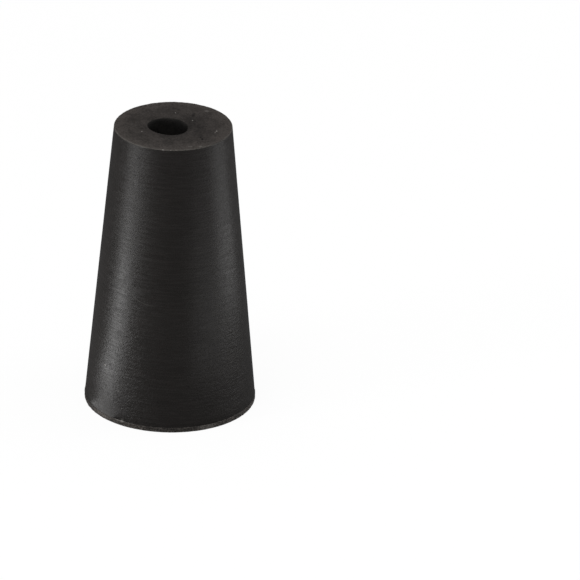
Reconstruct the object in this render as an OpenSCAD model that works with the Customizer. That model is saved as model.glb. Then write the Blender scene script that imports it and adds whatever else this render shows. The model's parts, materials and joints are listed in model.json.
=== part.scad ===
// Bored rubber stopper: a long tapered plug, moulded in one piece.
// It stands on its large end, with +Z along the body towards the small end.

/* [Body] */
// Length from the large end face to the small end face
length = 50; // [25:1:80]
// Diameter of the large end, across its trimmed band
large_d = 28.9; // [24:0.1:45]
// Diameter that the tapered wall reaches at the small end face
small_d = 19.8; // [16:0.1:23]
// Radius of the worn edge round the small end face
small_edge_r = 0.2; // [0.1:0.05:0.8]

/* [Trimmed band] */
// Height of the straight band where the mould flash was trimmed off the large end
band_h = 0.9; // [0.4:0.1:3]
// Width of the ledge that the band leaves at the foot of the tapered wall
band_ledge = 0.08; // [0.02:0.01:0.4]
// Radius of the edge between the band and the large end face
band_edge_r = 0.15; // [0.05:0.05:0.3]

/* [Bore] */
// Diameter of the straight bore that grips a tube
bore_d = 5.8; // [3:0.1:7]
// Sideways distance from the body's axis to the bore's axis
bore_offset = 0.9; // [0:0.1:2]
// Length of the gently tapered mouth at the small end
mouth_depth = 8; // [2:0.5:14]
// Widening of the bore's radius at the small end face
mouth_flare = 0.4; // [0:0.05:0.8]
// Chamfer on the edges where the bore meets the end faces
bore_chamfer = 0.12; // [0.05:0.01:0.3]

/* [Core pin seat] */
// Diameter of the shallow round sink that the core pin's seat left in the large end face
sink_d = 9.3; // [8:0.1:14]
// Depth of that sink
sink_depth = 0.12; // [0.05:0.01:0.5]

/* [Hidden] */
$fn = 96;
rubber_black = [0.13, 0.13, 0.13];

// How far a cutter runs past the face that it opens
overrun = 1;
// Straight steps in each rounded edge of the section
edge_steps = 8;

large_r = large_d / 2;
small_r = small_d / 2;
bore_r = bore_d / 2;
mouth_r = bore_r + mouth_flare;

// The tapered wall leans in from the ledge over the band up to the small end
foot_r = large_r - band_ledge;
taper = atan((foot_r - small_r) / (length - band_h));
// Centre of the worn edge, which is tangent to the small end face and to the tapered wall
worn_z = length - small_edge_r;
worn_r = small_r + small_edge_r * tan(taper) - small_edge_r / cos(taper);

// Points of an arc in the half section, round radius r and height z
function arc(r, z, edge_r, from, to) = [
    for (step = [0 : edge_steps])
        let (angle = from + (to - from) * step / edge_steps)
            [r + edge_r * cos(angle), z + edge_r * sin(angle)]
];

// Half section of the plug before it is bored
function plug_section() = concat(
    [[0, 0]],
    arc(large_r - band_edge_r, band_edge_r, band_edge_r, -90, 0),
    [[large_r, band_h], [foot_r, band_h]],
    arc(worn_r, worn_z, small_edge_r, taper, 90),
    [[0, length]]
);

// Half section of the core pin: chamfer, straight shank, tapered mouth, chamfer
function pin_section() = [
    [0, -overrun],
    [bore_r + bore_chamfer + sink_depth + overrun, -overrun],
    [bore_r, sink_depth + bore_chamfer],
    [bore_r, length - mouth_depth],
    [mouth_r, length - bore_chamfer],
    [mouth_r + bore_chamfer + overrun, length + overrun],
    [0, length + overrun]
];

module plug() {
    rotate_extrude()
        polygon(plug_section());
}

module core_pin() {
    rotate_extrude()
        polygon(pin_section());
}

module pin_seat() {
    translate([0, 0, -overrun])
        cylinder(d = sink_d, h = overrun + sink_depth);
}

module stopper() {
    color(rubber_black)
        difference() {
            plug();
            translate([-bore_offset, 0, 0]) {
                core_pin();
                pin_seat();
            }
        }
}

stopper();
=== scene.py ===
import json
import logging
import math
from dataclasses import dataclass
from enum import Enum, IntEnum

import bpy
import numpy as np
from mathutils import Matrix, Vector, noise


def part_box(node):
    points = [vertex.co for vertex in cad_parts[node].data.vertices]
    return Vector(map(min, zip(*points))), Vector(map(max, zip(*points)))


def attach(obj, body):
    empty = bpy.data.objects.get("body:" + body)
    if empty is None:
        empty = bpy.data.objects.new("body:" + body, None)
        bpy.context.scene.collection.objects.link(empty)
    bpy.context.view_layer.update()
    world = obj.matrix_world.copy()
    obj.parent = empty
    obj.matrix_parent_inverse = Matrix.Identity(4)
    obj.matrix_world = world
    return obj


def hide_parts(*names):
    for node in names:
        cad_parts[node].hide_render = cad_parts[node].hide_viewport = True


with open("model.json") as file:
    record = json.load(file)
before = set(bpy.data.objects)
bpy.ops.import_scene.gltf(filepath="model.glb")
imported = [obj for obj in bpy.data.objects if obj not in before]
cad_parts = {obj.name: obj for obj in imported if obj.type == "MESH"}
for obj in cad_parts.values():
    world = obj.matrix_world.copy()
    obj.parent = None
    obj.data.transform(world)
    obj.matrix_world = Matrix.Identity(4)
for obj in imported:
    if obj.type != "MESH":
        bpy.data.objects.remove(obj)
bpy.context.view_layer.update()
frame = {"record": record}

MM = 0.001
CARD_HEIGHT = 0.0001
NODE = "stopper"
log = logging.getLogger("rubber_stopper")

Colour = tuple[float, float, float, float]
Spot = tuple[float, float, float]
Socket = bpy.types.NodeSocket


class Zone(IntEnum):
    """The surfaces of the stopper, in the order of its material slots."""

    BORE = 0
    SMALL_FACE = 1
    WORN_EDGE = 2
    WALL = 3
    BAND = 4
    LARGE_FACE = 5


class Channel(Enum):
    """Names of the values that the mesh carries from point to point for its finishes."""

    # Chalk on chips, and a painted highlight on the nick at the band's ledge.
    CHALK_AND_HIGHLIGHT = "chalk"


# ---------------------------------------------------------------- shape


@dataclass(frozen=True)
class Ring:
    """One loop of the skin: a circle round an upright axis at axis_x. Sizes in mm."""

    radius: float
    height: float
    axis_x: float
    zone: Zone


@dataclass(frozen=True)
class Nick:
    """A small chip or pit in the skin, at an angle round the body. Sizes in mm, angle in degrees."""

    angle: float
    radius: float
    height: float
    width: float
    reach: float
    depth: float
    # How pale the nick is painted: chalk on a chip, and on the nick at the band's ledge a painted highlight.
    chalk: float = 0.0


@dataclass(frozen=True)
class Roughness:
    """How uneven one surface of the moulding is: the depth and the pitch of its relief, in mm."""

    depth: float
    pitch: float
    seed: float


@dataclass
class StopperSkin:
    """The outside and the bore of the stopper as one closed skin of rings. Sizes in mm.

    The length, the large end and the bore come from the frame. The fields below are the other
    sizes: the small end, the edges, the band, the sink and the uneven mouth of the bore.
    """

    small_d: float = 19.8
    small_edge_r: float = 0.2
    band_h: float = 0.9
    band_ledge: float = 0.08
    band_edge_r: float = 0.15
    ledge_edge: float = 0.03
    foot_gap: float = 0.05
    mouth_depth: float = 8.0
    mouth_flare: float = 0.4
    mouth_skew: float = 0.125
    mouth_ease: float = 0.6
    mouth_shift: float = 0.46
    mouth_reach: float = 3.0
    bore_chamfer: float = 0.12
    sink_d: float = 9.3
    sink_depth: float = 0.12
    sink_slope: float = 0.12
    points_round: int = 448

    def __post_init__(self) -> None:
        """Reads the overall sizes and the bore from the frame."""
        low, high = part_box(NODE)
        bore = next(m for m in frame["record"]["mounts"] if m["name"] == "bore")
        self.length = (high.z - low.z) / MM
        self.large_r = (high.x - low.x) / 2 / MM
        self.small_r = self.small_d / 2
        self.bore_r = bore["dims"]["r_mm"]
        self.bore_x = bore["pos_m"][0] / MM
        self.mouth_r = self.bore_r + self.mouth_flare
        self.foot_r = self.large_r - self.band_ledge
        self.taper = math.atan((self.foot_r - self.small_r) / (self.length - self.band_h))

    def wall_radius(self, height: float) -> float:
        """The radius of the tapered wall at a height above the bench."""
        return self.small_r + (self.length - height) * math.tan(self.taper)

    def rings(self) -> list[Ring]:
        """Lists the rings: up the bore, out over the small end, down the wall, back underneath."""
        return [
            *self.bore_rings(),
            *self.small_face_rings(),
            *self.wall_rings(),
            *self.band_rings(),
            *self.large_face_rings(),
        ]

    def line(self, start: Spot, end: Spot, count: int, zone: Zone, ease: float = 1.0) -> list[Ring]:
        """Rings on a straight stretch of the section, without its end point.

        Args:
            start: Radius, height and axis_x of the first ring.
            end: The same for the point where the next stretch begins.
            count: How many rings.
            zone: The surface that they belong to.
            ease: Above 1 draws the rings together near the start.

        Returns:
            The rings in order.
        """
        shares = [(i / count) ** ease for i in range(count)]
        return [Ring(*(a + (b - a) * s for a, b in zip(start, end)), zone) for s in shares]

    def arc(
        self, centre: tuple[float, float], radius: float, turn: tuple[float, float], count: int, zone: Zone
    ) -> list[Ring]:
        """Rings round a rounded edge, without its end point.

        Args:
            centre: Radius and height of the centre of the edge.
            radius: The radius of the edge.
            turn: First and last angle in degrees, 0 pointing outwards and 90 upwards.
            count: How many rings.
            zone: The surface that they belong to.

        Returns:
            The rings in order.
        """
        angles = [math.radians(turn[0] + (turn[1] - turn[0]) * i / count) for i in range(count)]
        return [
            Ring(centre[0] + radius * math.cos(a), centre[1] + radius * math.sin(a), 0.0, zone)
            for a in angles
        ]

    def bore_rings(self) -> list[Ring]:
        """The bore, from the sink in the large end to the lip of the mouth."""
        x, lip = self.bore_x, self.bore_chamfer
        foot = (self.bore_r + lip, self.sink_depth, x)
        shank = (self.bore_r, self.sink_depth + lip, x)
        mouth = (self.bore_r, self.length - self.mouth_depth, x)
        top = (self.mouth_r, self.length - lip, x)
        face = (self.mouth_r + lip, self.length, x)
        return [
            *self.line(foot, shank, 3, Zone.BORE),
            *self.line(shank, mouth, 14, Zone.BORE),
            *self.line(mouth, top, 18, Zone.BORE),
            *self.line(top, face, 3, Zone.BORE),
        ]

    def small_face_rings(self) -> list[Ring]:
        """The small end face, from the lip of the bore to the worn edge."""
        inner = (self.mouth_r + self.bore_chamfer, self.length, self.bore_x)
        outer = (self.worn_centre()[0], self.length, 0.0)
        return self.line(inner, outer, 30, Zone.SMALL_FACE)

    def worn_centre(self) -> tuple[float, float]:
        """Radius and height of the centre of the worn edge."""
        r = self.small_edge_r
        return self.small_r + r * math.tan(self.taper) - r / math.cos(self.taper), self.length - r

    def wall_rings(self) -> list[Ring]:
        """The worn edge and the tapered wall, down to the ledge over the band."""
        tilt = math.degrees(self.taper)
        edge = self.arc(self.worn_centre(), self.small_edge_r, (90, tilt), 7, Zone.WORN_EDGE)
        top = self.length - self.small_edge_r * (1 - math.sin(self.taper))
        foot = self.band_h + self.foot_gap
        start, end = (self.wall_radius(top), top, 0.0), (self.wall_radius(foot), foot, 0.0)
        return [*edge, *self.line(start, end, 74, Zone.WALL, 1.6), Ring(*end, Zone.WALL)]

    def band_rings(self) -> list[Ring]:
        """The ledge, the trimmed band and the edge under it."""
        ledge, lip = (self.foot_r, self.band_h, 0.0), (self.large_r, self.band_h - self.ledge_edge, 0.0)
        centre = (self.large_r - self.band_edge_r, self.band_edge_r)
        return [
            *self.line(ledge, lip, 2, Zone.BAND),
            *self.line(lip, (self.large_r, self.band_edge_r, 0.0), 9, Zone.BAND),
            *self.arc(centre, self.band_edge_r, (0, -90), 5, Zone.BAND),
        ]

    def large_face_rings(self) -> list[Ring]:
        """The large end face with the shallow sink round the bore."""
        x, sink_r = self.bore_x, self.sink_d / 2
        rim = (self.large_r - self.band_edge_r, 0.0, 0.0)
        brink, floor = (sink_r, 0.0, x), (sink_r - self.sink_slope, self.sink_depth, x)
        hole = (self.bore_r + self.bore_chamfer, self.sink_depth, x)
        return [
            *self.line(rim, brink, 26, Zone.LARGE_FACE),
            *self.line(brink, floor, 3, Zone.LARGE_FACE),
            *self.line(floor, hole, 7, Zone.LARGE_FACE),
        ]

    def surface_roughness(self) -> dict[Zone, Roughness]:
        """How uneven each surface is."""
        return {
            Zone.BORE: Roughness(0.04, 1.1, 3.0),
            Zone.SMALL_FACE: Roughness(0.03, 0.7, 11.0),
            Zone.WORN_EDGE: Roughness(0.07, 0.6, 23.0),
            Zone.WALL: Roughness(0.025, 5.0, 31.0),
            Zone.BAND: Roughness(0.09, 0.45, 47.0),
            Zone.LARGE_FACE: Roughness(0.03, 0.8, 59.0),
        }

    def nicks(self) -> list[Nick]:
        """The chips and pits that can be told apart."""
        top, pit = self.length, 43
        return [
            Nick(-98.9, self.small_r, top, 0.25, 0.2, 0.1, 0.55),
            Nick(-94.3, self.small_r, top, 0.13, 0.15, 0.08, 0.4),
            Nick(-91.5, self.small_r, top, 0.15, 0.15, 0.08, 0.5),
            Nick(-88.6, self.small_r, top, 0.13, 0.15, 0.08, 0.4),
            Nick(-86.2, self.small_r, top, 0.2, 0.15, 0.08, 0.45),
            Nick(-67.0, self.small_r - 0.45, top, 0.6, 0.25, 0.22),
            Nick(-160.0, self.small_r, top, 0.3, 0.2, 0.06, 0.35),
            # A nick in the ledge over the band, painted pale as a highlight on the ledge.
            Nick(-122.9, self.large_r, self.band_h, 0.5, 0.12, 0.05, 0.7),
            Nick(-126.0, self.wall_radius(pit), pit, 0.3, 0.3, 0.12),
        ]

    def build(self) -> bpy.types.Object:
        """Builds the skin as one closed mesh.

        Returns:
            The object, with a material slot number on each face and, on each point, the chalk, which is a
            painted highlight at the band's ledge.
        """
        rings = self.rings()
        points, normals = self.lay_points(rings)
        self.wear_mouth(rings, points)
        depth, chalk = self.carve(rings, points)
        points = points - normals * depth[..., None]
        mesh = bpy.data.meshes.new("stopper_skin")
        mesh.from_pydata((points.reshape(-1, 3) * MM).tolist(), [], self.quads(len(rings)))
        zones = np.repeat([int(r.zone) for r in rings], self.points_round)
        mesh.polygons.foreach_set("material_index", zones.astype(np.int32))
        mesh.polygons.foreach_set("use_smooth", np.ones(len(mesh.polygons), bool))
        layer = mesh.attributes.new(Channel.CHALK_AND_HIGHLIGHT.value, "FLOAT", "POINT")
        layer.data.foreach_set("value", chalk.reshape(-1).astype(np.float32))
        mesh.update()
        skin = bpy.data.objects.new("stopper_body", mesh)
        bpy.context.scene.collection.objects.link(skin)
        return skin

    def quads(self, ring_count: int) -> list[tuple[int, int, int, int]]:
        """Joins each ring to the next, and the last to the first, with faces that look outwards."""
        n = self.points_round
        faces = []
        for ring in range(ring_count):
            here, there = ring * n, (ring + 1) % ring_count * n
            for i in range(n):
                j = (i + 1) % n
                faces.append((here + i, here + j, there + j, there + i))
        return faces

    def lay_points(self, rings: list[Ring]) -> tuple[np.ndarray, np.ndarray]:
        """Places the points of every ring and works out which way the skin faces there.

        Args:
            rings: The rings in order.

        Returns:
            Points and outward unit normals, each ring by point by 3.
        """
        turn = np.arange(self.points_round) * (2 * math.pi / self.points_round)
        radius = np.array([r.radius for r in rings])
        height = np.array([r.height for r in rings])
        axis_x = np.array([r.axis_x for r in rings])
        x = axis_x[:, None] + radius[:, None] * np.cos(turn)
        y = radius[:, None] * np.sin(turn)
        z = np.broadcast_to(height[:, None], x.shape)
        points = np.stack([x, y, z], axis=-1)
        run_r = np.roll(radius, -1) - np.roll(radius, 1)
        run_z = np.roll(height, -1) - np.roll(height, 1)
        size = np.hypot(run_r, run_z)
        out_r, out_z = -run_z / size, run_r / size
        normals = np.stack(
            [
                out_r[:, None] * np.cos(turn),
                out_r[:, None] * np.sin(turn),
                np.broadcast_to(out_z[:, None], x.shape),
            ],
            axis=-1,
        )
        return points, normals

    def wear_mouth(self, rings: list[Ring], points: np.ndarray) -> None:
        """Pulls the mouth of the bore a little out of round, and the face round it with it.

        Args:
            rings: The rings in order.
            points: Their points in mm, which are moved.
        """
        foot = self.length - self.mouth_depth
        for index, ring in enumerate(rings):
            if ring.zone is Zone.BORE:
                share = max(0.0, (ring.height - foot) / self.mouth_depth) ** 2
            elif ring.zone is Zone.SMALL_FACE:
                share = max(0.0, 1 - (ring.radius - self.mouth_r) / self.mouth_reach) ** 2
            else:
                continue
            out = points[index, :, 0] - ring.axis_x
            back = points[index, :, 1] / ring.radius
            skew = self.mouth_skew * out * (1 - self.mouth_ease * back)
            points[index, :, 1] -= share * (self.mouth_shift + skew)

    def carve(self, rings: list[Ring], points: np.ndarray) -> tuple[np.ndarray, np.ndarray]:
        """Works out how far each point lies under the true surface.

        Args:
            rings: The rings in order.
            points: Their points in mm.

        Returns:
            The depth in mm and the chalk from 0 to 1, each ring by point; at the band's ledge the chalk is a
            painted highlight.
        """
        table = self.surface_roughness()
        depth = np.zeros(points.shape[:2])
        for index, ring in enumerate(rings):
            rough = table[ring.zone]
            offset = Vector((rough.seed, -rough.seed, rough.seed / 2))
            for i, p in enumerate(points[index]):
                lump = noise.noise(Vector(p) / rough.pitch + offset)
                depth[index, i] = rough.depth * (0.5 + 0.5 * lump)
        chalk = np.zeros_like(depth)
        for nick in self.nicks():
            turn = np.arctan2(points[..., 1], points[..., 0]) - math.radians(nick.angle)
            along = nick.radius * ((turn + math.pi) % (2 * math.pi) - math.pi)
            out = np.hypot(points[..., 0], points[..., 1]) - nick.radius
            across = np.hypot(out, points[..., 2] - nick.height)
            near = np.exp(-((along / nick.width) ** 2) - (across / nick.reach) ** 2)
            depth += nick.depth * near
            chalk = np.maximum(chalk, nick.chalk * near)
        return depth, chalk


# ---------------------------------------------------------------- shader building


class Sheet:
    """A short way to write the nodes of one material or one shared group."""

    def __init__(self, tree: bpy.types.NodeTree) -> None:
        """Clears the tree and writes on it."""
        self.tree = tree
        tree.nodes.clear()

    def add(self, kind: str, inputs: dict | None = None, **settings: object) -> bpy.types.Node:
        """Adds a node.

        Args:
            kind: The node's full type name.
            inputs: Socket name or number to a value, or to another node's output.
            **settings: Properties of the node itself.

        Returns:
            The node.
        """
        node = self.tree.nodes.new(kind)
        for name, value in settings.items():
            setattr(node, name, value)
        for name, value in (inputs or {}).items():
            self.feed(node.inputs[name], value)
        return node

    def feed(self, socket: Socket, value: object) -> None:
        """Links an output to a socket, or sets the socket's own value."""
        if isinstance(value, Socket):
            self.tree.links.new(value, socket)
        else:
            socket.default_value = value

    def calc(self, operation: str, first: object, second: object = 0.0) -> Socket:
        """The result of one Math node."""
        return self.add("ShaderNodeMath", {0: first, 1: second}, operation=operation).outputs[0]

    def turn(self, operation: str, first: object, second: object) -> Socket:
        """The vector result of one Vector Math node."""
        inputs = {0: first, 1: second}
        return self.add("ShaderNodeVectorMath", inputs, operation=operation).outputs["Vector"]

    def total(self, *parts: tuple[float, Socket]) -> Socket:
        """A sum of values, each with its weight in front of it."""
        result = None
        for weight, value in parts:
            part = self.calc("MULTIPLY", value, weight)
            result = part if result is None else self.calc("ADD", result, part)
        return result

    def step(self, value: object, low: object, high: object) -> Socket:
        """A smooth step of a value, from 0 at low to 1 at high."""
        inputs = {"Value": value, "From Min": low, "From Max": high}
        node = self.add("ShaderNodeMapRange", inputs, interpolation_type="SMOOTHSTEP")
        return node.outputs["Result"]

    def scale(self, value: object, low: object, high: object) -> Socket:
        """A value from 0 to 1 as a value from low to high."""
        inputs = {"Value": value, "To Min": low, "To Max": high}
        return self.add("ShaderNodeMapRange", inputs).outputs["Result"]

    def tint(self, share: object, first: object, second: object) -> Socket:
        """A mix of two colours, by a share from 0 to 1."""
        node = self.tree.nodes.new("ShaderNodeMix")
        node.data_type = "RGBA"
        sockets = {s.name: s for s in node.inputs if s.enabled}
        for name, value in {"Factor": share, "A": first, "B": second}.items():
            self.feed(sockets[name], value)
        return next(s for s in node.outputs if s.enabled)

    def group(self, tree: bpy.types.NodeTree, inputs: dict) -> Socket:
        """Places a shared group with its own values, and returns its output."""
        node = self.tree.nodes.new("ShaderNodeGroup")
        node.node_tree = tree
        for name, value in inputs.items():
            self.feed(node.inputs[name], value)
        return node.outputs[0]


@dataclass(frozen=True)
class GroupPlan:
    """The name, the inputs with their usual values, and the output of one shared group."""

    name: str
    inputs: dict[str, float | tuple]
    output: str

    def start(self) -> tuple[bpy.types.NodeTree, Sheet, dict[str, Socket], Socket]:
        """Makes the empty group.

        Returns:
            The tree, its sheet, its inputs by name, and the socket that takes its result.
        """
        tree = bpy.data.node_groups.new(self.name, "ShaderNodeTree")
        tree.interface.new_socket("Place", in_out="INPUT", socket_type="NodeSocketVector")
        for name, value in self.inputs.items():
            kind = "NodeSocketVector" if isinstance(value, tuple) else "NodeSocketFloat"
            tree.interface.new_socket(name, in_out="INPUT", socket_type=kind).default_value = value
        tree.interface.new_socket(self.output, in_out="OUTPUT", socket_type="NodeSocketFloat")
        sheet = Sheet(tree)
        given = sheet.add("NodeGroupInput").outputs
        result = sheet.add("NodeGroupOutput").inputs[0]
        return tree, sheet, {s.name: s for s in given if s.name}, result


class SharedEffects:
    """The effects that several finishes place, each a node group that is built once."""

    def __init__(self) -> None:
        """Builds every group."""
        self.strokes = self.grinding_strokes()
        self.grain = self.rubber_grain()
        self.mottle = self.cloudy_mottle()
        self.specks = self.dust_specks()
        self.mark = self.single_mark()

    def grinding_strokes(self) -> bpy.types.NodeTree:
        """Fine marks that run round the body, a little off level. Puts out a height from 0 to 1."""
        usual = {"Length": 2.0, "Width": 0.3, "Lean": 0.0, "Seed": 0.0}
        tree, sheet, given, result = GroupPlan("grinding_strokes", usual, "Height").start()
        place = sheet.add("ShaderNodeSeparateXYZ", {0: given["Place"]}).outputs
        level = sheet.calc("ADD", place["Z"], sheet.calc("MULTIPLY", place["X"], given["Lean"]))
        across = sheet.calc("ADD", sheet.calc("DIVIDE", place["X"], given["Length"]), given["Seed"])
        depth = sheet.calc("DIVIDE", place["Y"], given["Length"])
        up = sheet.calc("DIVIDE", level, given["Width"])
        spot = sheet.add("ShaderNodeCombineXYZ", {0: across, 1: depth, 2: up}).outputs[0]
        inputs = {"Vector": spot, "Scale": 1.0, "Detail": 1.0, "Roughness": 0.5}
        marks = sheet.add("ShaderNodeTexNoise", inputs)
        sheet.feed(result, marks.outputs[0])
        return tree

    def rubber_grain(self) -> bpy.types.NodeTree:
        """The granular skin of filled rubber. Puts out a height from 0 to 1."""
        usual = {"Pitch": 0.4, "Seed": 0.0}
        tree, sheet, given, result = GroupPlan("rubber_grain", usual, "Height").start()
        inputs = {"Vector": sheet.turn("ADD", given["Place"], given["Seed"])}
        inputs["Scale"] = sheet.calc("DIVIDE", 1.0, given["Pitch"])
        crumbs = sheet.add("ShaderNodeTexVoronoi", inputs, feature="SMOOTH_F1")
        lumps = sheet.add("ShaderNodeTexNoise", inputs | {"Detail": 3.0, "Roughness": 0.65})
        height = sheet.total((1.0, lumps.outputs[0]), (-0.35, crumbs.outputs["Distance"]))
        sheet.feed(result, height)
        return tree

    def cloudy_mottle(self) -> bpy.types.NodeTree:
        """Soft uneven patches, as of bloom and handling. Puts out a mask from 0 to 1."""
        usual = {"Pitch": 3.0, "Low": 0.4, "High": 0.6, "Seed": 0.0}
        tree, sheet, given, result = GroupPlan("cloudy_mottle", usual, "Mask").start()
        inputs = {"Vector": sheet.turn("ADD", given["Place"], given["Seed"])}
        inputs |= {"Scale": sheet.calc("DIVIDE", 1.0, given["Pitch"]), "Detail": 4.0, "Roughness": 0.6}
        clouds = sheet.add("ShaderNodeTexNoise", inputs)
        sheet.feed(result, sheet.step(clouds.outputs[0], given["Low"], given["High"]))
        return tree

    def dust_specks(self) -> bpy.types.NodeTree:
        """Scattered pale specks. Puts out a mask from 0 to 1."""
        usual = {"Pitch": 2.0, "Size": 0.1, "Share": 0.5, "Seed": 0.0}
        tree, sheet, given, result = GroupPlan("dust_specks", usual, "Mask").start()
        inputs = {"Vector": sheet.turn("ADD", given["Place"], given["Seed"])}
        inputs["Scale"] = sheet.calc("DIVIDE", 1.0, given["Pitch"])
        cells = sheet.add("ShaderNodeTexVoronoi", inputs)
        away = sheet.calc("MULTIPLY", cells.outputs["Distance"], given["Pitch"])
        lot = sheet.add("ShaderNodeSeparateColor", {0: cells.outputs["Color"]}).outputs
        size = sheet.calc("MULTIPLY", given["Size"], sheet.scale(lot[1], 0.5, 1.0))
        near = sheet.step(away, size, 0.0)
        kept = sheet.calc("LESS_THAN", lot[0], given["Share"])
        sheet.feed(result, sheet.calc("MULTIPLY", near, kept))
        return tree

    def single_mark(self) -> bpy.types.NodeTree:
        """One soft mark with its own centre and reach. Puts out a mask from 0 to 1."""
        usual = {"Centre": (0.0, 0.0, 0.0), "Reach": (1.0, 1.0, 1.0)}
        tree, sheet, given, result = GroupPlan("single_mark", usual, "Mask").start()
        offset = sheet.turn("SUBTRACT", given["Place"], given["Centre"])
        share = sheet.turn("DIVIDE", offset, given["Reach"])
        away = sheet.add("ShaderNodeVectorMath", {0: share}, operation="LENGTH").outputs["Value"]
        sheet.feed(result, sheet.step(away, 1.0, 0.3))
        return tree


class FinishSheet(Sheet):
    """The sheet of one finish, with the shared effects at hand. Lengths in mm."""

    def __init__(self, tree: bpy.types.NodeTree, effects: SharedEffects) -> None:
        """Clears the tree and finds the point's place on the stopper."""
        super().__init__(tree)
        self.effects = effects
        spot = self.add("ShaderNodeTexCoord").outputs["Object"]
        inputs = {0: spot, "Scale": 1 / MM}
        self.place = self.add("ShaderNodeVectorMath", inputs, operation="SCALE").outputs["Vector"]

    def strokes(self, length: float, width: float, lean: float = 0.0, seed: float = 0.0) -> Socket:
        """Grinding strokes, from 0 to 1."""
        inputs = {"Place": self.place, "Length": length, "Width": width, "Lean": lean, "Seed": seed}
        return self.group(self.effects.strokes, inputs)

    def grain(self, pitch: float, seed: float = 0.0) -> Socket:
        """Rubber grain, from 0 to 1."""
        return self.group(self.effects.grain, {"Place": self.place, "Pitch": pitch, "Seed": seed})

    def mottle(self, pitch: float, low: float = 0.4, high: float = 0.6, seed: float = 0.0) -> Socket:
        """Cloudy patches, from 0 to 1."""
        inputs = {"Place": self.place, "Pitch": pitch, "Low": low, "High": high, "Seed": seed}
        return self.group(self.effects.mottle, inputs)

    def specks(self, pitch: float, size: float, share: float, seed: float = 0.0) -> Socket:
        """Scattered specks, from 0 to 1."""
        inputs = {"Place": self.place, "Pitch": pitch, "Size": size, "Share": share, "Seed": seed}
        return self.group(self.effects.specks, inputs)

    def marks(self, marks: tuple["Mark", ...]) -> Socket | float:
        """The given marks, from 0 to 1."""
        result = 0.0
        for mark in marks:
            inputs = {"Place": self.place, "Centre": mark.centre, "Reach": mark.reach}
            mask = self.group(self.effects.mark, inputs)
            result = self.calc("MAXIMUM", self.calc("MULTIPLY", mask, mark.strength), result)
        return result

    def scratch(self, scratch: "Scratch") -> Socket:
        """A fine scratch along an arc, from 0 to 1."""
        offset = self.turn("SUBTRACT", self.place, scratch.centre)
        away = self.add("ShaderNodeVectorMath", {0: offset}, operation="LENGTH").outputs["Value"]
        miss = self.calc("ABSOLUTE", self.calc("SUBTRACT", away, scratch.radius))
        return self.calc("MULTIPLY", self.step(miss, scratch.width, 0.0), self.marks((scratch.fade,)))

    def down(self, top: float, foot: float) -> Socket:
        """How far down the body a point is: 0 from the height top upwards, 1 from foot downwards."""
        height = self.add("ShaderNodeSeparateXYZ", {0: self.place}).outputs["Z"]
        return self.step(height, top, foot)

    def outward(self, inner: float, outer: float) -> Socket:
        """How far out from the body's axis a point is: 0 up to the inner radius, 1 from the outer."""
        level = self.turn("MULTIPLY", self.place, (1.0, 1.0, 0.0))
        away = self.add("ShaderNodeVectorMath", {0: level}, operation="LENGTH").outputs["Value"]
        return self.step(away, inner, outer)


# ---------------------------------------------------------------- finishes


@dataclass(frozen=True)
class Mark:
    """A speck, pit or smudge at a given place; some are painted highlights and some painted shade. Centre
    and reach in mm along X, Y and Z.
    """

    centre: Spot
    reach: Spot
    strength: float = 1.0


@dataclass(frozen=True)
class Scratch:
    """A fine scratch along an arc. Lengths in mm.

    The fade is a mark at the middle of the scratch, and the scratch fades out with it.
    """

    centre: Spot
    radius: float
    width: float
    fade: Mark


@dataclass(frozen=True)
class Finish:
    """What every rubber surface of the stopper has.

    The roughness runs from polished to dull, and the relief is its height in mm.
    """

    name: str
    rubber: Colour
    bloom: Colour
    roughness: tuple[float, float]
    specular: float
    relief: float
    # Chalk colours chips, dust and pale marks, some of which are painted highlights; grime colours the dark
    # marks, some of which are painted shade.
    chalk: Colour = (0.5, 0.48, 0.45, 1.0)
    grime_and_shade: Colour = (0.004, 0.004, 0.004, 1.0)
    dustiness: float = 0.3
    pale_marks: tuple[Mark, ...] = ()
    dark_marks: tuple[Mark, ...] = ()

    def build(self, effects: SharedEffects) -> bpy.types.Material:
        """Builds the material.

        Args:
            effects: The shared groups.

        Returns:
            The finished material.
        """
        material = bpy.data.materials.new(self.name)
        material.use_nodes = True
        sheet = FinishSheet(material.node_tree, effects)
        relief = {"Height": self.height(sheet), "Distance": self.relief * MM, "Strength": 1.0}
        bump = sheet.add("ShaderNodeBump", relief)
        inputs = {
            "Base Color": self.colour(sheet),
            "Roughness": sheet.scale(self.polish(sheet), self.roughness[1], self.roughness[0]),
            "Specular IOR Level": self.specular,
            "Normal": bump.outputs["Normal"],
        }
        shader = sheet.add("ShaderNodeBsdfPrincipled", inputs)
        sheet.add("ShaderNodeOutputMaterial", {"Surface": shader.outputs[0]})
        return material

    def colour(self, sheet: FinishSheet) -> Socket:
        """The rubber under its bloom, its grime and painted shade, and the chalk on chips and specks, which
        on some chips and pale marks is a painted highlight.
        """
        body = sheet.tint(self.cover(sheet), self.rubber, self.bloom)
        dirt_and_shade = sheet.tint(sheet.marks(self.dark_marks), body, self.grime_and_shade)
        chips_and_highlight = sheet.add("ShaderNodeAttribute", attribute_name=Channel.CHALK_AND_HIGHLIGHT.value).outputs["Fac"]
        pale = sheet.calc("MAXIMUM", sheet.step(chips_and_highlight, 0.15, 0.7), self.dust(sheet))
        pale = sheet.calc("MAXIMUM", pale, sheet.marks(self.pale_marks))
        return sheet.tint(pale, dirt_and_shade, self.chalk)

    def cover(self, sheet: FinishSheet) -> Socket:
        """Where the bloom shows, from 0 to 1."""
        return sheet.mottle(3.0)

    def dust(self, sheet: FinishSheet) -> Socket:
        """Where pale dust lies, from 0 to 1."""
        return sheet.calc("MULTIPLY", sheet.specks(2.5, 0.14, 0.15), self.dustiness)

    def polish(self, sheet: FinishSheet) -> Socket:
        """How polished the surface is, from 0 to 1."""
        return sheet.mottle(4.0, 0.3, 0.7, 9.0)

    def height(self, sheet: FinishSheet) -> Socket:
        """The fine relief, from 0 to 1."""
        return sheet.grain(0.35)


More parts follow.
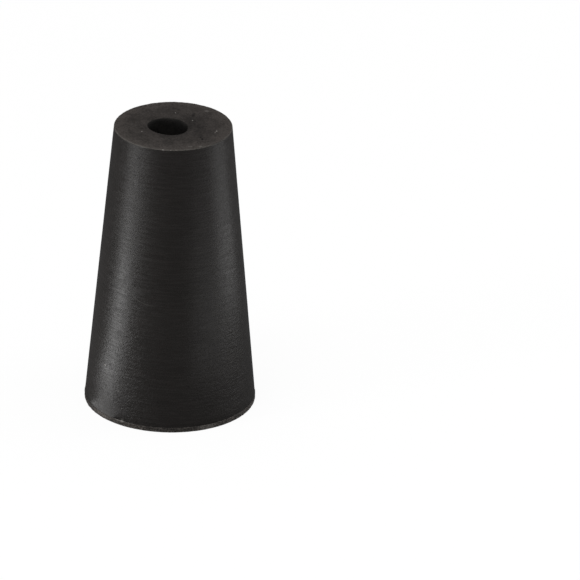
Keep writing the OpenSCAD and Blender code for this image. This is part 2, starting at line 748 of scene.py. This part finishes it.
@dataclass(frozen=True)
class GroundWall(Finish):
    """The tapered wall: ground round on a wheel, smoother but more granular towards the large end."""

    name: str = "ground_wall"
    rubber: Colour = (0.0172, 0.0153, 0.0143, 1.0)
    bloom: Colour = (0.0250, 0.0223, 0.0210, 1.0)
    roughness: tuple[float, float] = (0.27, 0.57)
    specular: float = 0.4
    relief: float = 0.048
    pale_marks: tuple[Mark, ...] = (
        Mark((-10.82, -8.23, 9.42), (0.3, 0.3, 0.2), 0.35),
        Mark((-8.54, -10.98, 5.96), (0.14, 0.14, 0.28), 0.2),
    )
    # Painted shade: two pits, drawn only as dark, dull spots.
    dark_marks: tuple[Mark, ...] = (
        Mark((-5.49, -8.48, 47.77), (0.42, 0.42, 0.28)),
        Mark((-6.07, -8.44, 44.55), (0.3, 0.3, 0.22)),
    )
    scratch: Scratch = Scratch(
        centre=(-2.93, -11.74, 28.29),
        radius=5.94,
        width=0.17,
        fade=Mark((-4.9, -11.4, 23.0), (3.4, 3.4, 2.8), 0.05),
    )
    least_polish: float = 0.12

    def dust(self, sheet: FinishSheet) -> Socket:
        """Where pale dust lies, and the one scratch, which curves down to level."""
        return sheet.calc("MAXIMUM", super().dust(sheet), sheet.scratch(self.scratch))

    def cover(self, sheet: FinishSheet) -> Socket:
        """Paler level scuffs, in patches."""
        scuffs = sheet.step(sheet.strokes(3.2, 0.2, 0.03, 3.0), 0.4, 0.7)
        return sheet.total((0.65, scuffs), (0.35, sheet.mottle(5.0, 0.3, 0.7)))

    def polish(self, sheet: FinishSheet) -> Socket:
        """Polished crumbs and strokes among dull ones, stronger towards the large end.

        The wall near the small end is rubbed smoother, and the pits are dull.
        """
        crumbs = sheet.mottle(0.7, 0.38, 0.62, 2.0)
        strokes = sheet.step(sheet.strokes(4.0, 0.3, 0.03, 6.0), 0.36, 0.64)
        share = sheet.down(46.0, 24.0)
        fine = sheet.total((0.45, crumbs), (0.55, strokes))
        fine = sheet.scale(fine, sheet.scale(share, 0.15, 0.05), sheet.scale(share, 0.85, 1.0))
        clean = sheet.scale(sheet.marks(self.dark_marks), 1.0, 0.0)
        rubbed = sheet.down(34.0, 46.0)
        whole = sheet.calc("ADD", sheet.total((0.28, share), (0.6, fine), (0.22, rubbed)), self.least_polish)
        return sheet.calc("MULTIPLY", whole, clean)

    def height(self, sheet: FinishSheet) -> Socket:
        """Level strokes with two shorter sets that lean across them, on grain that deepens downwards."""
        level = sheet.strokes(5.0, 0.34, 0.03)
        falling = sheet.strokes(2.2, 0.34, 0.25, 5.0)
        rising = sheet.strokes(1.7, 0.36, -0.6, 8.0)
        strokes = sheet.total((0.38, level), (0.1, falling), (0.25, rising))
        share = sheet.scale(sheet.down(28.0, 4.0), 0.3, 1.2)
        return sheet.calc("ADD", strokes, sheet.calc("MULTIPLY", sheet.grain(0.4), share))


@dataclass(frozen=True)
class CutFace(Finish):
    """The small end face: cut flat, dull, and dusty brown-grey."""

    name: str = "cut_face"
    rubber: Colour = (0.0255, 0.0220, 0.0200, 1.0)
    bloom: Colour = (0.070, 0.0605, 0.0550, 1.0)
    roughness: tuple[float, float] = (0.7, 0.85)
    specular: float = 0.25
    relief: float = 0.16
    pale_marks: tuple[Mark, ...] = (
        Mark((0.27, 5.28, 50.0), (0.14, 0.24, 0.5), 0.45),
        Mark((3.17, 2.26, 50.0), (0.15, 0.24, 0.5), 0.42),
        Mark((-5.16, -2.65, 50.0), (0.15, 0.26, 0.5), 0.4),
        Mark((7.26, -1.91, 50.0), (0.20, 0.30, 0.5), 0.45),
        Mark((7.03, -2.53, 50.0), (0.13, 0.20, 0.5), 0.3),
        Mark((5.53, 6.18, 50.0), (0.60, 0.35, 0.5), 0.14),
        Mark((2.94, -8.31, 50.0), (0.60, 0.25, 0.5), 0.1),
        Mark((4.68, -8.19, 50.0), (0.45, 0.30, 0.5), 0.12),
    )
    dark_marks: tuple[Mark, ...] = (
        Mark((4.93, -5.35, 50.0), (0.26, 0.55, 0.5), 0.9),
        Mark((4.64, -4.63, 50.0), (0.30, 0.40, 0.5), 0.7),
        Mark((4.28, -3.80, 50.0), (0.40, 0.50, 0.5), 0.4),
        Mark((3.30, 4.44, 50.0), (0.40, 1.10, 0.5), 0.6),
        Mark((3.52, 1.17, 50.0), (0.50, 1.60, 0.5), 0.4),
        Mark((4.00, -2.06, 50.0), (0.50, 1.30, 0.5), 0.4),
        Mark((2.83, 2.37, 50.0), (0.80, 1.20, 0.5), 0.35),
        Mark((4.13, -0.02, 50.0), (2.60, 6.60, 0.5), 0.25),
        Mark((-0.37, -0.23, 50.0), (6.20, 6.80, 0.5), 0.22),
        Mark((2.54, 0.31, 50.0), (1.40, 4.20, 0.5), 0.4),
        Mark((-6.93, 2.33, 50.0), (1.60, 0.80, 0.5), 0.25),
        Mark((2.11, -3.00, 50.0), (0.70, 0.80, 0.5), 0.35),
        Mark((4.55, -3.70, 50.0), (0.60, 1.20, 0.5), 0.4),
        Mark((2.80, 1.10, 50.0), (0.60, 1.10, 0.5), 0.35),
        Mark((5.60, -5.30, 50.0), (1.80, 2.40, 0.5), 0.18),
        # Painted shade in the crack near the front rim.
        Mark((3.78, -8.92, 50.0), (0.60, 0.22, 0.5), 0.75),
    )

    def cover(self, sheet: FinishSheet) -> Socket:
        """Bloom in patches, broken up by crumbs, and thicker towards the rim."""
        patches = sheet.mottle(2.4, 0.35, 0.65)
        crumbs = sheet.mottle(0.35, 0.35, 0.65, 4.0)
        streaks = sheet.mottle(0.9, 0.35, 0.65, 7.0)
        body = sheet.total((0.3, patches), (0.4, crumbs), (0.25, streaks))
        rim = sheet.calc("MULTIPLY", sheet.outward(6.8, 9.8), sheet.scale(crumbs, 0.3, 0.6))
        return sheet.calc("ADD", body, rim)


@dataclass(frozen=True)
class WornEdgeWithHighlight(CutFace):
    """The rubbed edge round the small end, painted paler than the face: partly wear, partly a painted
    highlight along the rim.
    """

    name: str = "worn_edge"
    rubber: Colour = (0.045, 0.0405, 0.0370, 1.0)
    bloom: Colour = (0.092, 0.0840, 0.0770, 1.0)
    roughness: tuple[float, float] = (0.6, 0.8)
    specular: float = 0.2
    pale_marks: tuple[Mark, ...] = ()
    # A darker patch at the right of the rim.
    dark_marks: tuple[Mark, ...] = (Mark((7.60, -6.30, 50.0), (2.60, 2.60, 0.6), 0.4),)


@dataclass(frozen=True)
class TrimmedBand(Finish):
    """The band round the large end, where the mould flash was trimmed off: rough and crumbly."""

    name: str = "trimmed_band"
    rubber: Colour = (0.030, 0.0265, 0.0240, 1.0)
    bloom: Colour = (0.105, 0.0920, 0.0820, 1.0)
    roughness: tuple[float, float] = (0.5, 0.8)
    specular: float = 0.4
    relief: float = 0.22
    pale_marks: tuple[Mark, ...] = (
        # Painted highlight along the ledge over the band.
        Mark((-8.20, -11.80, 0.90), (1.60, 1.30, 0.14), 0.5),
        # A faint paler patch on the band's left side, painted light.
        Mark((-10.00, -10.40, 0.50), (4.50, 3.50, 1.00), 0.03),
        Mark((6.50, -12.90, 0.50), (2.50, 1.50, 1.00), 0.1),
    )
    # A darker patch at the front of the band.
    dark_marks: tuple[Mark, ...] = (Mark((0.50, -14.40, 0.50), (5.00, 1.50, 1.00), 0.25),)

    def cover(self, sheet: FinishSheet) -> Socket:
        """Pale crumbs on the darker trimmed rubber."""
        return sheet.total((0.35, sheet.mottle(1.5)), (0.65, sheet.mottle(0.3, 0.45, 0.62, 4.0)))


@dataclass(frozen=True)
class MouldedFace(Finish):
    """The large end face: moulded, matt and granular."""

    name: str = "moulded_face"
    rubber: Colour = (0.018, 0.0175, 0.0165, 1.0)
    bloom: Colour = (0.034, 0.032, 0.03, 1.0)
    roughness: tuple[float, float] = (0.65, 0.85)
    specular: float = 0.3
    relief: float = 0.2

    def cover(self, sheet: FinishSheet) -> Socket:
        """Bloom in patches, broken up by crumbs."""
        return sheet.total((0.5, sheet.mottle(3.0, 0.35, 0.65)), (0.5, sheet.mottle(0.4, 0.35, 0.65, 4.0)))


@dataclass(frozen=True)
class BoreWall(Finish):
    """The wall of the bore: smooth from the core pin, and dark."""

    name: str = "bore_wall"
    rubber: Colour = (0.013, 0.0125, 0.012, 1.0)
    bloom: Colour = (0.02, 0.0185, 0.0175, 1.0)
    roughness: tuple[float, float] = (0.75, 0.9)
    specular: float = 0.1
    relief: float = 0.08


# ---------------------------------------------------------------- studio


@dataclass(frozen=True)
class Lamp:
    """A soft rectangular lamp that only the stopper and the floor see. Sizes in metres.

    A radiance of 1 is white.
    """

    name: str
    width: float
    tall: float
    radiance: float

    def make(self) -> bpy.types.Object:
        """Makes the lamp at the origin, shining down."""
        light = bpy.data.lights.new(self.name, "AREA")
        light.shape = "RECTANGLE"
        light.size, light.size_y = self.width, self.tall
        light.energy = self.radiance * math.pi * self.width * self.tall
        stand = bpy.data.objects.new(self.name, light)
        stand.visible_camera = False
        bpy.context.scene.collection.objects.link(stand)
        return stand

    def hang(self, target: Vector) -> None:
        """Puts the lamp in its place."""
        raise NotImplementedError


@dataclass(frozen=True)
class Softbox(Lamp):
    """A lamp on a stand that faces the stopper.

    The azimuth is in degrees, 0 in front of the stopper and 90 on its right.
    """

    azimuth: float
    height: float
    distance: float

    def hang(self, target: Vector) -> None:
        """Puts the lamp on its stand and turns it to the target."""
        stand = self.make()
        turn = math.radians(self.azimuth)
        stand.location = (math.sin(turn) * self.distance, -math.cos(turn) * self.distance, self.height)
        stand.rotation_euler = (target - stand.location).to_track_quat("-Z", "Y").to_euler()


@dataclass(frozen=True)
class FloorCard(Lamp):
    """A bright card that lies on the floor and shines up. Its turn round Z is in degrees."""

    x: float
    y: float
    turn: float

    def hang(self, target: Vector) -> None:
        """Lays the card down."""
        card = self.make()
        card.location = (self.x, self.y, CARD_HEIGHT)
        card.rotation_euler = (math.pi, 0.0, math.radians(self.turn))


@dataclass(frozen=True)
class Studio:
    """The pale floor, the world and the lamps."""

    floor_size: float = 6.0
    paper: Colour = (0.1, 0.1, 0.1, 1.0)
    glow: float = 0.92
    gloss_share: float = 0.03
    fill: float = 0.5
    lamps: tuple[Lamp, ...] = (
        Softbox("left_softbox", 0.16, 0.30, 9.2, -61.0, 0.12, 0.6),
        Softbox("right_softbox", 0.40, 0.30, 3.8, 98.0, 0.12, 0.6),
        Softbox("top_softbox", 0.45, 0.45, 3.3, -20.0, 0.9, 0.35),
        FloorCard("foot_card", 0.0075, 0.0045, 1.15, -0.0144, -0.0092, -52.0),
        FloorCard("near_card", 0.013, 0.007, 1.35, -0.0205, -0.0085, 8.0),
        FloorCard("middle_card", 0.026, 0.014, 3.7, -0.0390, -0.0085, 12.0),
        FloorCard("far_card", 0.094, 0.032, 4.0, -0.0985, -0.0235, 12.0),
        FloorCard("right_card", 0.055, 0.062, 1.75, 0.100, 0.005, 0.0),
        FloorCard("front_card", 0.070, 0.050, 0.7, 0.062, -0.050, -38.0),
    )

    def build(self) -> None:
        """Builds the floor, the world and the lamps."""
        self.lay_floor()
        self.light_world()
        low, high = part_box(NODE)
        for lamp in self.lamps:
            lamp.hang((low + high) / 2)

    def seen(self, sheet: Sheet, fill: float = 0.0) -> Socket:
        """How strongly the white backdrop shines.

        It shines fully to the camera and through glass. A gloss sees only gloss_share of it, because
        the rubber is black and matt, and no piece is of metal or glass.

        Args:
            sheet: The sheet of the floor or the world.
            fill: How strongly it lights a dull surface.

        Returns:
            The strength.
        """
        path = sheet.add("ShaderNodeLightPath").outputs
        straight = sheet.calc("MAXIMUM", path["Is Camera Ray"], path["Is Transmission Ray"])
        rest = sheet.scale(path["Is Glossy Ray"], fill, self.gloss_share)
        return sheet.calc("MAXIMUM", straight, rest)

    def lay_floor(self) -> None:
        """White paper that keeps a soft shadow."""
        half = self.floor_size / 2
        mesh = bpy.data.meshes.new("floor")
        corners = [(-half, -half, 0), (half, -half, 0), (half, half, 0), (-half, half, 0)]
        mesh.from_pydata(corners, [], [(0, 1, 2, 3)])
        floor = bpy.data.objects.new("floor", mesh)
        bpy.context.scene.collection.objects.link(floor)
        material = bpy.data.materials.new("floor_paper")
        material.use_nodes = True
        sheet = Sheet(material.node_tree)
        paper = sheet.add("ShaderNodeBsdfDiffuse", {"Color": self.paper})
        strength = sheet.calc("MULTIPLY", self.seen(sheet), self.glow)
        glow = sheet.add("ShaderNodeEmission", {"Strength": strength})
        both = sheet.add("ShaderNodeAddShader", {0: paper.outputs[0], 1: glow.outputs[0]})
        sheet.add("ShaderNodeOutputMaterial", {"Surface": both.outputs[0]})
        mesh.materials.append(material)

    def light_world(self) -> None:
        """An even grey fill behind a white backdrop."""
        world = bpy.data.worlds.new("studio")
        world.use_nodes = True
        bpy.context.scene.world = world
        sheet = Sheet(world.node_tree)
        inputs = {"Color": (1, 1, 1, 1), "Strength": self.seen(sheet, self.fill)}
        light = sheet.add("ShaderNodeBackground", inputs)
        sheet.add("ShaderNodeOutputWorld", {"Surface": light.outputs[0]})


@dataclass(frozen=True)
class Viewpoint:
    """Where the camera stands. Angles in degrees, lengths in metres."""

    elevation: float = 25.19
    roll: float = 1.08
    distance: float = 1.5
    aim: Spot = (0.019975, -0.00188, 0.02099)
    lens: float = 554.6
    sensor: float = 36.0
    clip: tuple[float, float] = (0.05, 20.0)

    def build(self) -> None:
        """Makes the camera and aims it."""
        camera = bpy.data.cameras.new("camera")
        camera.lens, camera.sensor_width = self.lens, self.sensor
        camera.clip_start, camera.clip_end = self.clip
        stand = bpy.data.objects.new("camera", camera)
        pitch, roll = math.radians(self.elevation), math.radians(self.roll)
        ahead = Vector((0.0, math.cos(pitch), -math.sin(pitch)))
        right, up = Vector((1.0, 0.0, 0.0)), Vector((0.0, math.sin(pitch), math.cos(pitch)))
        side = right * math.cos(roll) + up * math.sin(roll)
        top = up * math.cos(roll) - right * math.sin(roll)
        turn = Matrix((side, top, -ahead)).transposed()
        stand.matrix_world = Matrix.Translation(Vector(self.aim) - ahead * self.distance) @ turn.to_4x4()
        bpy.context.scene.collection.objects.link(stand)
        bpy.context.scene.camera = stand


# ---------------------------------------------------------------- the stopper


@dataclass
class RubberStopper:
    """The whole object: one moulding, with a finish for each of its surfaces in the order of Zone."""

    effects: SharedEffects
    finishes: tuple[Finish, ...] = (
        BoreWall(),
        CutFace(),
        WornEdgeWithHighlight(),
        GroundWall(),
        TrimmedBand(),
        MouldedFace(),
    )

    def build(self) -> bpy.types.Object:
        """Builds the moulding and dresses it.

        Returns:
            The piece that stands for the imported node.
        """
        skin = StopperSkin().build()
        for finish in self.finishes:
            skin.data.materials.append(finish.build(self.effects))
        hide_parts(NODE)
        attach(skin, "root")
        return skin


def main() -> None:
    """Builds the studio, the camera and the stopper, and reports each piece."""
    logging.basicConfig(level=logging.INFO, format="%(name)s: %(message)s")
    Viewpoint().build()
    Studio().build()
    piece = RubberStopper(SharedEffects()).build()
    log.info("%s: %d faces, %d finishes", piece.name, len(piece.data.polygons), len(piece.data.materials))
    bpy.context.scene.view_settings.view_transform = "Standard"


if __name__ == "__main__":
    main()
